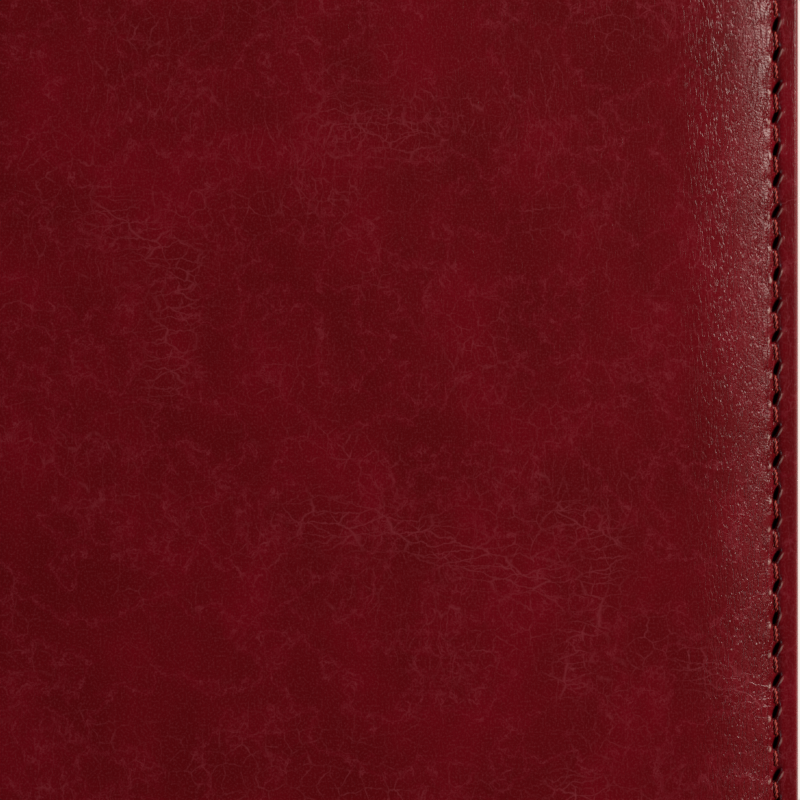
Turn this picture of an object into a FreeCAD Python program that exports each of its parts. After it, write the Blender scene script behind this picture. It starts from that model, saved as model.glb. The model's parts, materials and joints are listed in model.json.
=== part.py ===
import FreeCAD, Part

# A four-ring coin album, closed, lying on its back cover. +X points from the spine to the
# fore edge, +Y to the head of the pages, +Z up through the front cover. The origin is the
# centre of the underside. Every solid is its own node, written to parts/NODE.step, in mm.
import math
import os

Vector = FreeCAD.Vector
TOLERANCE = 1e-4
ROUND_TOLERANCE = 0.01  # the box of a circular edge is this much less exact
CUT_PAST = 1.0  # a cutter runs this far out of what it cuts

# Whole album
COVER_LENGTH = 235.0  # head to tail
THICKNESS = 38.2  # back cover's underside to front cover's top
FORE_X = 108.0  # fore edge of both covers
SPINE_X = -107.2  # outer face of the spine panel
MIDDLE_Z = THICKNESS / 2

# Layers of a padded cover, from its inner face outwards
LINING = 0.5
BOARD = 2.0
FOAM = 1.4
LEATHER = 0.9
COVER = LINING + BOARD + FOAM + LEATHER
RIM = LINING + BOARD + LEATHER  # height of the flat rim round the padding

# Plan of a padded cover
COVER_CORNER = 6.0
LEAST_CORNER = 1.0  # of the layers inside
BOARD_INSET = 1.0
FOAM_INSET = 6.0
PAD_INSET = 3.6  # the padding's foot, from the cover's free edges
PAD_HINGE_INSET = 6.8  # and from its joint
PAD_ROOT = 1.0  # the padding's leather starts this far below the rim
FOAM_HINGE_INSET = 7.8
TURN_IN = 12.0  # leather turned over onto the inner face
RIM_ROUND = 1.4
PAD_ROUND = 1.2

# Flexible joints between the spine and the covers, level with the covers' rims
JOINT_RADIUS = 6.5
JOINT_SHEET = 1.8
JOINT_X = SPINE_X + JOINT_RADIUS
JOINT_LEVEL = COVER - RIM  # the rims lie this far inside the padding
GUTTER = 3.2  # free leather between the joint and the board's turned edge

# Spine panel
SPINE_BOARD = 2.2
SPINE_INNER_X = SPINE_X + LEATHER + SPINE_BOARD + LINING
SPINE_LOW_Z = JOINT_LEVEL + JOINT_RADIUS
SPINE_HIGH_Z = THICKNESS - SPINE_LOW_Z
SPINE_BOARD_INSET = 1.5

# Stitching, a row on each face of the cover's rim
SEAM_INSET = 2.6
THREAD_RADIUS = 0.25
GROOVE_RADIUS = 0.30
SEAM_START = 2.0  # from the joint

# Rings: two halves of one circle, each with a leg that runs in to its blade
RING_AXIS_U = 10.8  # ring axis above the spine's inner face
RING_RADIUS = 11.0
WIRE_RADIUS = 1.3
RING_ARC_DEG = 136.0
RING_TIP_GAP = 0.1
RING_Y = (77.5, 32.5, -32.5, -77.5)
LEG_U = 1.8
LEG_END_V = 3.6

# Mechanism: a cap riveted to the spine over two blades
CAP_HALF_WIDTH = 6.0
CAP_HEIGHT = 4.8
CAP_WALL = 0.8
CAP_HALF_LENGTH = 95.0
CAP_ROUND = 1.5
CAP_NOTCH_HALF = 1.9
BLADE_THICKNESS = 0.8
BLADE_PIVOT_V = 5.4
BLADE_INNER_V = 0.2
BLADE_OUTER_V = 5.0
BLADE_HALF_LENGTH = 90.9
BLADE_DROP_DEG = 4.3  # the blades sag to the spine while the rings are shut
RIVET_Y = 55.0
RIVET_RADIUS = 2.0
RIVET_OUTER_HEAD = 4.0
RIVET_INNER_HEAD = 3.2
RIVET_HEAD_HEIGHT = 0.8
RIVET_ROUND = 0.6
RIVET_NOTCH = 2.6

# Trigger levers, one at each end of the mechanism
TRIGGER_Y = 92.4
TRIGGER_U = 2.4
PIN_RADIUS = 0.6
TRIGGER_BORE = 0.65
TRIGGER_HALF_WIDTH = 3.0
FOOT_HALF_WIDTH = 1.4
TAB_HALF_WIDTH = 3.6
TAB_ROUND = 0.5
CAP_SLOT_HALF = 3.4
CAP_SLOT_START = 90.2
CAP_SLOT_SILL = 1.0  # the slot starts this far above the spine
HUB_RADIUS = 1.25
# A lever's four pieces in profile, as (towards its end, above the pivot)
FOOT_PROFILE = ((-3.4, -2.25), (-0.4, -2.25), (-0.4, -1.7), (-3.4, -1.7))
HEEL_PROFILE = ((-0.9, -2.25), (0.2, -2.25), (1.2, -1.0), (1.2, 0.0), (-0.9, 0.0))
ARM_PROFILE = ((0.6, -1.1), (9.4, 3.3), (9.4, 4.8), (-0.2, 1.24))
TAB_PROFILE = ((8.4, 2.8), (13.4, 5.3), (13.6, 6.9), (12.6, 6.9), (8.4, 4.43))
TAB_END = 13.0  # the edges past this are rounded

# Leaves: a coin page of pockets with a card interleaf behind it
LEAF_COUNT = 8
LEAF_PITCH = 1.4
LEAF_SLOPE_DEG = 2.5  # the stack rests on the back cover at its fore edge
HOLE_RADIUS = 3.25
HOLE_MARGIN = 6.5  # hole centre to the page's edge
HOLE_SLACK = 0.8  # hole centre outside the wire
PAGE_WIDTH = 190.0
PAGE_LENGTH = 217.0
PAGE_CORNER = 3.0
PAGE_SHEET = 0.3
PAGE_THICKNESS = 0.7
CARD_THICKNESS = 0.4
CARD_INSET = 1.5
PUNCHED_MARGIN = 13.0
POCKET_COLUMNS = 4
POCKET_ROWS = 5
POCKET_GAP = 3.0


def block(x_low, x_high, y_low, y_high, z_low, z_high):
    """A box between two corners."""
    size = (x_high - x_low, y_high - y_low, z_high - z_low)
    return Part.makeBox(*size, Vector(x_low, y_low, z_low))


def panel(x_back, x_fore, half_length, corner, z_low, z_high):
    """A flat panel, square at its back edge and with rounded corners at its fore edge."""
    bow = corner * (1 - math.sqrt(0.5))

    def point(x, y):
        return Vector(x, y, z_low)

    low_start, low_end = point(x_fore - corner, -half_length), point(x_fore, corner - half_length)
    high_start, high_end = point(x_fore, half_length - corner), point(x_fore - corner, half_length)
    back_low, back_high = point(x_back, -half_length), point(x_back, half_length)
    edges = [
        Part.LineSegment(back_low, low_start),
        Part.Arc(low_start, point(x_fore - bow, bow - half_length), low_end),
        Part.LineSegment(low_end, high_start),
        Part.Arc(high_start, point(x_fore - bow, half_length - bow), high_end),
        Part.LineSegment(high_end, back_high),
        Part.LineSegment(back_high, back_low),
    ]
    outline = Part.Wire([edge.toShape() for edge in edges])
    return Part.Face(outline).extrude(Vector(0, 0, z_high - z_low))


def cover_panel(inset, z_low, z_high, hinge_inset=0.0):
    """A panel that follows the cover's outline, pulled in from its free edges and its joint."""
    corner = max(COVER_CORNER - inset, LEAST_CORNER)
    half_length = COVER_LENGTH / 2 - inset
    return panel(JOINT_X + hinge_inset, FORE_X - inset, half_length, corner, z_low, z_high)


def round_rim(solid, levels, radius):
    """Rounds a panel's outline at the given heights, but not a side that meets the joint."""
    picked = []
    for edge in solid.Edges:
        box = edge.BoundBox
        level = any(abs(box.ZMin - z) < TOLERANCE for z in levels)
        if box.ZLength < TOLERANCE and level and box.XMax > JOINT_X + GUTTER:
            picked.append(edge)
    return solid.makeFillet(radius, picked)


def tube(edges, radius):
    """A round wire or thread along a path of tangent edges."""
    path = Part.Wire([edge.toShape() for edge in edges])
    heading = edges[0].tangent(edges[0].FirstParameter)[0]
    profile = Part.Face(Part.Wire(Part.makeCircle(radius, edges[0].StartPoint, heading)))
    return path.makePipe(profile)


def seam(z, radius):
    """One row of the cover's stitching: along the head, round the fore edge and back."""
    x_back, x_fore = JOINT_X + SEAM_START, FORE_X - SEAM_INSET
    half = COVER_LENGTH / 2 - SEAM_INSET
    corner = COVER_CORNER - SEAM_INSET
    bow = corner * (1 - math.sqrt(0.5))
    head_end, fore_start = Vector(x_fore - corner, half, z), Vector(x_fore, half - corner, z)
    fore_end, tail_start = Vector(x_fore, corner - half, z), Vector(x_fore - corner, -half, z)
    edges = [
        Part.LineSegment(Vector(x_back, half, z), head_end),
        Part.Arc(head_end, Vector(x_fore - bow, half - bow, z), fore_start),
        Part.LineSegment(fore_start, fore_end),
        Part.Arc(fore_end, Vector(x_fore - bow, bow - half, z), tail_start),
        Part.LineSegment(tail_start, Vector(x_back, -half, z)),
    ]
    return tube(edges, radius)


def cover_parts():
    """The layers of one cover, with its inner face at z = 0 and the padding upwards."""
    board_low, foam_low = LINING, LINING + BOARD
    half = COVER_LENGTH / 2
    board_hinge_inset = GUTTER + SPINE_BOARD_INSET
    lining = cover_panel(TURN_IN, 0.0, LINING, GUTTER)
    board = cover_panel(BOARD_INSET, board_low, foam_low, board_hinge_inset)
    foam = cover_panel(FOAM_INSET, foam_low, foam_low + FOAM, FOAM_HINGE_INSET)
    rim = round_rim(cover_panel(0.0, 0.0, RIM), (0.0, RIM), RIM_ROUND)
    pad = round_rim(cover_panel(PAD_INSET, RIM - PAD_ROOT, COVER, PAD_HINGE_INSET), (COVER,), PAD_ROUND)
    gutter = block(JOINT_X, JOINT_X + GUTTER, -half, half, 0.0, RIM - JOINT_SHEET)
    leather = rim.fuse(pad).removeSplitter().cut([board, foam, lining, gutter])
    leather = leather.cut([seam(0.0, GROOVE_RADIUS), seam(RIM, GROOVE_RADIUS)])
    stitching = Part.makeCompound([seam(0.0, THREAD_RADIUS), seam(RIM, THREAD_RADIUS)])
    return {
        "leather": leather,
        "board": board,
        "foam": foam,
        "lining": lining,
        "stitching": stitching,
    }


def to_front(solid):
    """Lifts a cover part from z = 0 to its place in the front cover."""
    return solid.translated(Vector(0, 0, THICKNESS - COVER))


def to_back(solid):
    """Turns a cover part over into its place in the back cover."""
    flipped = solid.mirror(Vector(0, 0, 0), Vector(0, 0, 1))
    return flipped.translated(Vector(0, 0, COVER))


def joint_strip():
    """The leather that bends round from the front cover's rim to the spine."""
    centre = Vector(JOINT_X, -COVER_LENGTH / 2, SPINE_HIGH_Z)
    inner_radius = JOINT_RADIUS - JOINT_SHEET
    diagonal = math.sqrt(0.5)

    def at(radius, along_x, along_z):
        return centre + Vector(-radius * along_x, 0, radius * along_z)

    edges = [
        Part.Arc(at(JOINT_RADIUS, 0, 1), at(JOINT_RADIUS, diagonal, diagonal), at(JOINT_RADIUS, 1, 0)),
        Part.LineSegment(at(JOINT_RADIUS, 1, 0), at(inner_radius, 1, 0)),
        Part.Arc(at(inner_radius, 1, 0), at(inner_radius, diagonal, diagonal), at(inner_radius, 0, 1)),
        Part.LineSegment(at(inner_radius, 0, 1), at(JOINT_RADIUS, 0, 1)),
    ]
    section = Part.Face(Part.Wire([edge.toShape() for edge in edges]))
    return section.extrude(Vector(0, COVER_LENGTH, 0))


def spine_parts():
    """The spine panel's board, lining, leather and two short rows of stitching."""
    half = COVER_LENGTH / 2
    board_x = SPINE_X + LEATHER
    lining_x = board_x + SPINE_BOARD
    low, high = SPINE_LOW_Z + SPINE_BOARD_INSET, SPINE_HIGH_Z - SPINE_BOARD_INSET
    board = block(board_x, lining_x, BOARD_INSET - half, half - BOARD_INSET, low, high)
    lining = block(lining_x, SPINE_INNER_X, TURN_IN - half, half - TURN_IN, low, high)
    leather = block(SPINE_X, SPINE_INNER_X, -half, half, SPINE_LOW_Z, SPINE_HIGH_Z)
    rows, grooves = [], []
    for side in (-1, 1):
        start = Vector(SPINE_X, side * (half - SEAM_INSET), SPINE_LOW_Z + SEAM_START)
        run = SPINE_HIGH_Z - SPINE_LOW_Z - 2 * SEAM_START
        rows.append(Part.makeCylinder(THREAD_RADIUS, run, start))
        grooves.append(Part.makeCylinder(GROOVE_RADIUS, run, start))
    holes = [rivet_hole(RIVET_RADIUS, side * RIVET_Y) for side in (-1, 1)]
    return {
        "leather": leather.cut([board, lining] + grooves + holes),
        "board": board.cut(holes),
        "lining": lining.cut(holes),
        "stitching": Part.makeCompound(rows),
    }


def rivet_hole(radius, y):
    """A cylinder through the spine and the cap, where a rivet goes."""
    start = Vector(SPINE_X - CUT_PAST, y, MIDDLE_Z)
    run = SPINE_INNER_X - SPINE_X + CAP_HEIGHT + 2 * CUT_PAST
    return Part.makeCylinder(radius, run, start, Vector(1, 0, 0))


def domed_head(radius, y, face_x, heading):
    """A rivet's head on a face, rounded on the side that shows."""
    head = Part.makeCylinder(
        radius, RIVET_HEAD_HEIGHT, Vector(face_x, y, MIDDLE_Z), Vector(heading, 0, 0)
    )
    top_x = face_x + heading * RIVET_HEAD_HEIGHT
    rim = [
        e for e in head.Edges
        if abs(e.BoundBox.XMin - top_x) < ROUND_TOLERANCE and e.BoundBox.XLength < ROUND_TOLERANCE
    ]
    return head.makeFillet(RIVET_ROUND, rim)


def rivets():
    """The two rivets that hold the cap to the spine."""
    cap_top = SPINE_INNER_X + CAP_HEIGHT
    solids = []
    for side in (-1, 1):
        y = side * RIVET_Y
        shank = Part.makeCylinder(
            RIVET_RADIUS, cap_top - SPINE_X, Vector(SPINE_X, y, MIDDLE_Z), Vector(1, 0, 0)
        )
        outer = domed_head(RIVET_OUTER_HEAD, y, SPINE_X, -1)
        inner = domed_head(RIVET_INNER_HEAD, y, cap_top, 1)
        solids.append(shank.fuse([outer, inner]).removeSplitter())
    return Part.makeCompound(solids)


def cap():
    """The pressed channel over the blades, open to the spine and slotted for the triggers."""
    length = 2 * CAP_HALF_LENGTH
    inner = CAP_HALF_WIDTH - CAP_WALL
    top_x = SPINE_INNER_X + CAP_HEIGHT

    def channel(half_width, x_high, radius):
        solid = block(
            SPINE_INNER_X, x_high, -length / 2, length / 2, MIDDLE_Z - half_width, MIDDLE_Z + half_width
        )
        crown = [
            e for e in solid.Edges
            if abs(e.BoundBox.XMin - x_high) < TOLERANCE and e.BoundBox.YLength > length - TOLERANCE
        ]
        return solid.makeFillet(radius, crown)

    shell = channel(CAP_HALF_WIDTH, top_x, CAP_ROUND)
    hollow = channel(inner, top_x - CAP_WALL, CAP_ROUND - CAP_WALL)
    cuts = [hollow]
    for y in RING_Y:
        notch_x = top_x - CAP_WALL
        cuts.append(
            block(
                SPINE_INNER_X, notch_x, y - CAP_NOTCH_HALF, y + CAP_NOTCH_HALF,
                MIDDLE_Z - CAP_HALF_WIDTH, MIDDLE_Z + CAP_HALF_WIDTH,
            )
        )
    for side in (-1, 1):
        cuts.append(rivet_hole(RIVET_RADIUS, side * RIVET_Y))
        cuts.append(pin(side, PIN_RADIUS))
        ends = sorted((side * CAP_SLOT_START, side * CAP_HALF_LENGTH))
        slot = (MIDDLE_Z - CAP_SLOT_HALF, MIDDLE_Z + CAP_SLOT_HALF)
        cuts.append(block(SPINE_INNER_X + CAP_SLOT_SILL, top_x, ends[0], ends[1], *slot))
    return shell.cut(cuts)


def pin(side, radius):
    """A trigger's pivot pin, held in the cap's two walls."""
    start = Vector(SPINE_INNER_X + TRIGGER_U, side * TRIGGER_Y, MIDDLE_Z - CAP_HALF_WIDTH)
    return Part.makeCylinder(radius, 2 * CAP_HALF_WIDTH, start)


def ring_half(side, y):
    """Half a ring and its leg; side is +1 towards the front cover and -1 towards the back."""
    turn = math.radians(RING_ARC_DEG)
    arc_end_u = RING_AXIS_U + RING_RADIUS * math.cos(turn)
    bend = (arc_end_u - LEG_U) / (1 + math.cos(turn))
    bend_centre = RING_RADIUS - bend

    def at(u, v):
        return Vector(SPINE_INNER_X + u, y, MIDDLE_Z + side * v)

    def on_arc(angle):
        return at(RING_AXIS_U + RING_RADIUS * math.cos(angle), RING_RADIUS * math.sin(angle))

    def on_bend(angle):
        u = RING_AXIS_U + bend_centre * math.cos(turn) + bend * math.cos(angle)
        return at(u, bend_centre * math.sin(turn) + bend * math.sin(angle))

    tip = math.asin(RING_TIP_GAP / 2 / RING_RADIUS)
    leg_start = on_bend(math.pi)
    edges = [
        Part.Arc(on_arc(tip), on_arc((tip + turn) / 2), on_arc(turn)),
        Part.Arc(on_arc(turn), on_bend((turn + math.pi) / 2), leg_start),
        Part.LineSegment(leg_start, at(LEG_U, LEG_END_V)),
    ]
    return tube(edges, WIRE_RADIUS)


def blade(side, legs):
    """One of the two spring blades, notched for the rivets and for its ring legs."""
    low_v, high_v = sorted((side * BLADE_INNER_V, side * BLADE_OUTER_V))
    mid_x = SPINE_INNER_X + LEG_U
    plate = block(
        mid_x - BLADE_THICKNESS / 2, mid_x + BLADE_THICKNESS / 2,
        -BLADE_HALF_LENGTH, BLADE_HALF_LENGTH, MIDDLE_Z + low_v, MIDDLE_Z + high_v,
    )
    pivot = Vector(mid_x, 0, MIDDLE_Z + side * BLADE_PIVOT_V)
    plate.rotate(pivot, Vector(0, side, 0), BLADE_DROP_DEG)
    notches = [rivet_hole(RIVET_NOTCH, end * RIVET_Y) for end in (-1, 1)]
    return plate.cut(notches + legs)


def slab(points, half_width):
    """A lever's profile, given as (along Y, above the pivot), made a plate across the cap."""
    corners = [
        Vector(SPINE_INNER_X + TRIGGER_U + u, TRIGGER_Y + y, MIDDLE_Z - half_width) for y, u in points
    ]
    outline = Part.makePolygon(corners + corners[:1])
    return Part.Face(outline).extrude(Vector(0, 0, 2 * half_width))


def trigger(side):
    """A lever that lifts both blades with its foot when its tab is pressed."""
    foot = slab(FOOT_PROFILE, FOOT_HALF_WIDTH)
    heel = slab(HEEL_PROFILE, TRIGGER_HALF_WIDTH)
    arm = slab(ARM_PROFILE, TRIGGER_HALF_WIDTH)
    tab = slab(TAB_PROFILE, TAB_HALF_WIDTH)
    end_y = TRIGGER_Y + TAB_END
    sides = [
        e for e in tab.Edges if e.BoundBox.ZLength > TAB_HALF_WIDTH and e.BoundBox.YMin > end_y
    ]
    tab = tab.makeFillet(TAB_ROUND, sides)
    axis = Vector(SPINE_INNER_X + TRIGGER_U, TRIGGER_Y, MIDDLE_Z - TRIGGER_HALF_WIDTH)
    hub = Part.makeCylinder(HUB_RADIUS, 2 * TRIGGER_HALF_WIDTH, axis)
    bore = Part.makeCylinder(TRIGGER_BORE, 2 * TRIGGER_HALF_WIDTH, axis)
    lever = hub.fuse([foot, heel, arm, tab]).removeSplitter().cut(bore)
    if side > 0:
        return lever
    return lever.mirror(Vector(0, 0, 0), Vector(0, 1, 0))


def leaf_offset(index):
    """Height of a leaf's middle above the ring axis; leaf 1 lies under the front cover."""
    return LEAF_PITCH * ((LEAF_COUNT + 1) / 2 - index)


def leaf_hole_distance(index):
    """Distance along the leaf from the ring axis to its holes."""
    offset = leaf_offset(index)
    wire = math.sqrt(RING_RADIUS**2 - offset**2)
    return wire + HOLE_SLACK


def place_leaf(solid):
    """Moves a flat leaf from the ring axis at the origin to its sloping place on the rings."""
    placed = solid.translated(Vector(SPINE_INNER_X + RING_AXIS_U, 0, MIDDLE_Z))
    placed.rotate(
        Vector(SPINE_INNER_X + RING_AXIS_U, 0, MIDDLE_Z), Vector(0, 1, 0), LEAF_SLOPE_DEG
    )
    return placed


def leaf_holes(index, low, high):
    """The row of punched holes of one leaf."""
    x = leaf_hole_distance(index)
    return [Part.makeCylinder(HOLE_RADIUS, high - low, Vector(x, y, low)) for y in RING_Y]


def coin_page(index):
    """A clear page: a sheet, a stiff punched margin and a grid of raised coin pockets."""
    low = leaf_offset(index) - (PAGE_THICKNESS + CARD_THICKNESS) / 2
    high = low + PAGE_THICKNESS
    x_low = leaf_hole_distance(index) - HOLE_MARGIN
    x_high, half = x_low + PAGE_WIDTH, PAGE_LENGTH / 2
    sheet = panel(x_low, x_high, half, PAGE_CORNER, low, low + PAGE_SHEET)
    raised = [block(x_low, x_low + PUNCHED_MARGIN, -half, half, low, high)]
    across = (PAGE_WIDTH - PUNCHED_MARGIN) / POCKET_COLUMNS
    along = PAGE_LENGTH / POCKET_ROWS
    for column in range(POCKET_COLUMNS):
        x = x_low + PUNCHED_MARGIN + column * across
        for row in range(POCKET_ROWS):
            y = row * along - half
            raised.append(
                block(
                    x + POCKET_GAP / 2, x + across - POCKET_GAP / 2,
                    y + POCKET_GAP / 2, y + along - POCKET_GAP / 2, low, high,
                )
            )
    page = sheet.fuse(raised).removeSplitter().cut(leaf_holes(index, low, high))
    return place_leaf(page)


def interleaf(index):
    """The card behind a coin page, on the same rings."""
    low = leaf_offset(index) - (PAGE_THICKNESS + CARD_THICKNESS) / 2 + PAGE_THICKNESS
    high = low + CARD_THICKNESS
    x_low = leaf_hole_distance(index) - HOLE_MARGIN
    card = panel(
        x_low, x_low + PAGE_WIDTH - CARD_INSET, PAGE_LENGTH / 2 - CARD_INSET, PAGE_CORNER, low, high
    )
    return place_leaf(card.cut(leaf_holes(index, low, high)))


def all_nodes():
    """Every node of the album, by name."""
    nodes = {}
    for name, solid in cover_parts().items():
        nodes[f"front_{name}"] = to_front(solid)
        nodes[f"back_{name}"] = to_back(solid)
    front_joint = joint_strip()
    nodes["front_joint"] = front_joint
    nodes["back_joint"] = front_joint.mirror(Vector(0, 0, MIDDLE_Z), Vector(0, 0, 1))
    for name, solid in spine_parts().items():
        nodes[f"spine_{name}"] = solid
    nodes["ring_cap"] = cap()
    nodes["mechanism_rivets"] = rivets()
    for side, cover in ((1, "front"), (-1, "back")):
        halves = [ring_half(side, y) for y in RING_Y]
        for number, half in enumerate(halves, 1):
            nodes[f"ring_{cover}_{number}"] = half
        nodes[f"blade_{cover}"] = blade(side, halves)
    for side, end in ((1, "head"), (-1, "tail")):
        nodes[f"trigger_pin_{end}"] = pin(side, PIN_RADIUS)
        nodes[f"trigger_{end}"] = trigger(side)
    for index in range(1, LEAF_COUNT + 1):
        nodes[f"coin_page_{index}"] = coin_page(index)
        nodes[f"interleaf_{index}"] = interleaf(index)
    return nodes


os.makedirs("parts", exist_ok=True)
for node, shape in all_nodes().items():
    if not shape.isValid() or shape.Volume <= 0:
        raise ValueError(f"{node} is not a sound solid")
    shape.exportStep(f"parts/{node}.step")
    box = shape.BoundBox
    print(
        f"{node}: {len(shape.Solids)} solid, {shape.Volume:.1f} mm3,"
        f" x {box.XMin:.2f}..{box.XMax:.2f} y {box.YMin:.2f}..{box.YMax:.2f}"
        f" z {box.ZMin:.2f}..{box.ZMax:.2f}"
    )
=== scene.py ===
import json
import logging
import math
from collections.abc import Callable
from dataclasses import dataclass, field
from enum import Enum

import bpy
import numpy as np
from mathutils import Matrix, Vector, noise


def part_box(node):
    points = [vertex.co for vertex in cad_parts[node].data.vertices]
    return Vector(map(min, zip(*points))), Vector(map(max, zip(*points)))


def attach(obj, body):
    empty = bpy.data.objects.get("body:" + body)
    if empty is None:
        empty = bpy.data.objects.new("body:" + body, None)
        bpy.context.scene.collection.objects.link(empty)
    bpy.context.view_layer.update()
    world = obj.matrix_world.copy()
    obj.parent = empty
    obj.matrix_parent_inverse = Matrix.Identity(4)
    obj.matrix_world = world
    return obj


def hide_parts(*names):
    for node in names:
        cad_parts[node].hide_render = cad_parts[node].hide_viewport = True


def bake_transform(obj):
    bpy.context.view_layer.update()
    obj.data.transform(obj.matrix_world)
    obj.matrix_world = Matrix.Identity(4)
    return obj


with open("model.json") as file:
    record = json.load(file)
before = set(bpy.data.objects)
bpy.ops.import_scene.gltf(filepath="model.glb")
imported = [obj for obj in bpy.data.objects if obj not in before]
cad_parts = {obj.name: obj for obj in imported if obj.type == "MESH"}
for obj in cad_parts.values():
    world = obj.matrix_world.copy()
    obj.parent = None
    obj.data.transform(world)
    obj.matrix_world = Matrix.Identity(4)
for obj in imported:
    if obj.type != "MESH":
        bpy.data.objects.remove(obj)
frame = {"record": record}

log = logging.getLogger("coin_album")

Array = np.ndarray
Piece = bpy.types.Object
Finish = bpy.types.Material
Tree = bpy.types.NodeTree
Socket = bpy.types.NodeSocket

MM = 0.001  # one millimetre in the scene's metres
SHEET = "sheet_place"  # each leatherette vertex's place on the flat sheet it was cut from, in mm
CREASED = "creased"  # how much a vertex lies in a patch where the sheet was creased, 0 to 1
CROWN = "ply_crown"  # 1 on a thread ply's crown and 0 between the plies, where shade is painted
HOLE = "needle_hole"  # 1 deep in a needle hole, for its painted shade, 0 on plain leatherette, -1 on a hole's lip, for its painted highlight
PULL = "pulled_grain"  # how far the leatherette is pulled over the padding's edge, 0 to 1
NEAR_MM = 0.01  # places closer than this are the same


class Side(Enum):
    """Which cover a piece belongs to; the value is the way its outer face looks along Z."""

    FRONT = 1
    BACK = -1

    @property
    def word(self) -> str:
        """The side's name as the frame's nodes and bodies spell it."""
        return self.name.lower()


def linear(code: str) -> tuple[float, float, float, float]:
    """Turns an sRGB hex colour into linear light.

    Args:
        code: the colour as "#rrggbb".

    Returns:
        The colour as linear red, green, blue and an alpha of 1.
    """
    channels = [int(code[i : i + 2], 16) / 255 for i in (1, 3, 5)]
    lit = [c / 12.92 if c <= 0.04045 else ((c + 0.055) / 1.055) ** 2.4 for c in channels]
    return (*lit, 1.0)


def box_mm(node: str) -> tuple[Vector, Vector]:
    """The lowest and highest corner of a frame node, in millimetres."""
    low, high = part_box(node)
    return low / MM, high / MM


# ---------------------------------------------------------------------------------------------
# Finishes


def put(
    tree: Tree,
    kind: str,
    wires: dict | None = None,
    out: int | str | None = None,
    stops: tuple = (),
    **settings: object,
) -> bpy.types.Node | Socket:
    """Adds one shader node with its settings and its links.

    Args:
        tree: the material's node tree.
        kind: the node's type name, without its first word "ShaderNode".
        wires: input name or number to a value, or to an output socket to link.
        out: the output to return in place of the node.
        stops: a colour ramp's pairs of position and grey level or linear colour, in order.
        settings: properties of the node itself.

    Returns:
        The new node, or its output.
    """
    made = tree.nodes.new("ShaderNode" + kind)
    for name, value in settings.items():
        setattr(made, name, value)
    for name, value in (wires or {}).items():
        if isinstance(value, Socket):
            tree.links.new(value, made.inputs[name])
        else:
            made.inputs[name].default_value = value
    while stops and len(made.color_ramp.elements) < len(stops):
        made.color_ramp.elements.new(1.0)
    for number, (place, value) in enumerate(stops):
        made.color_ramp.elements[number].position = place
        grey = (value, value, value, 1.0)
        made.color_ramp.elements[number].color = value if isinstance(value, tuple) else grey
    return made if out is None else made.outputs[out]


def blank(name: str) -> tuple[Finish, Tree]:
    """Starts a material.

    Args:
        name: the material's name.

    Returns:
        The material, still without nodes, and its node tree.
    """
    material = bpy.data.materials.new(name)
    material.use_nodes = True
    material.node_tree.nodes.clear()
    return material, material.node_tree


def shade(tree: Tree, wires: dict) -> None:
    """Ends a material with its shader and its output, by the shader's inputs."""
    put(tree, "OutputMaterial", {"Surface": put(tree, "BsdfPrincipled", wires, "BSDF")})


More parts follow.
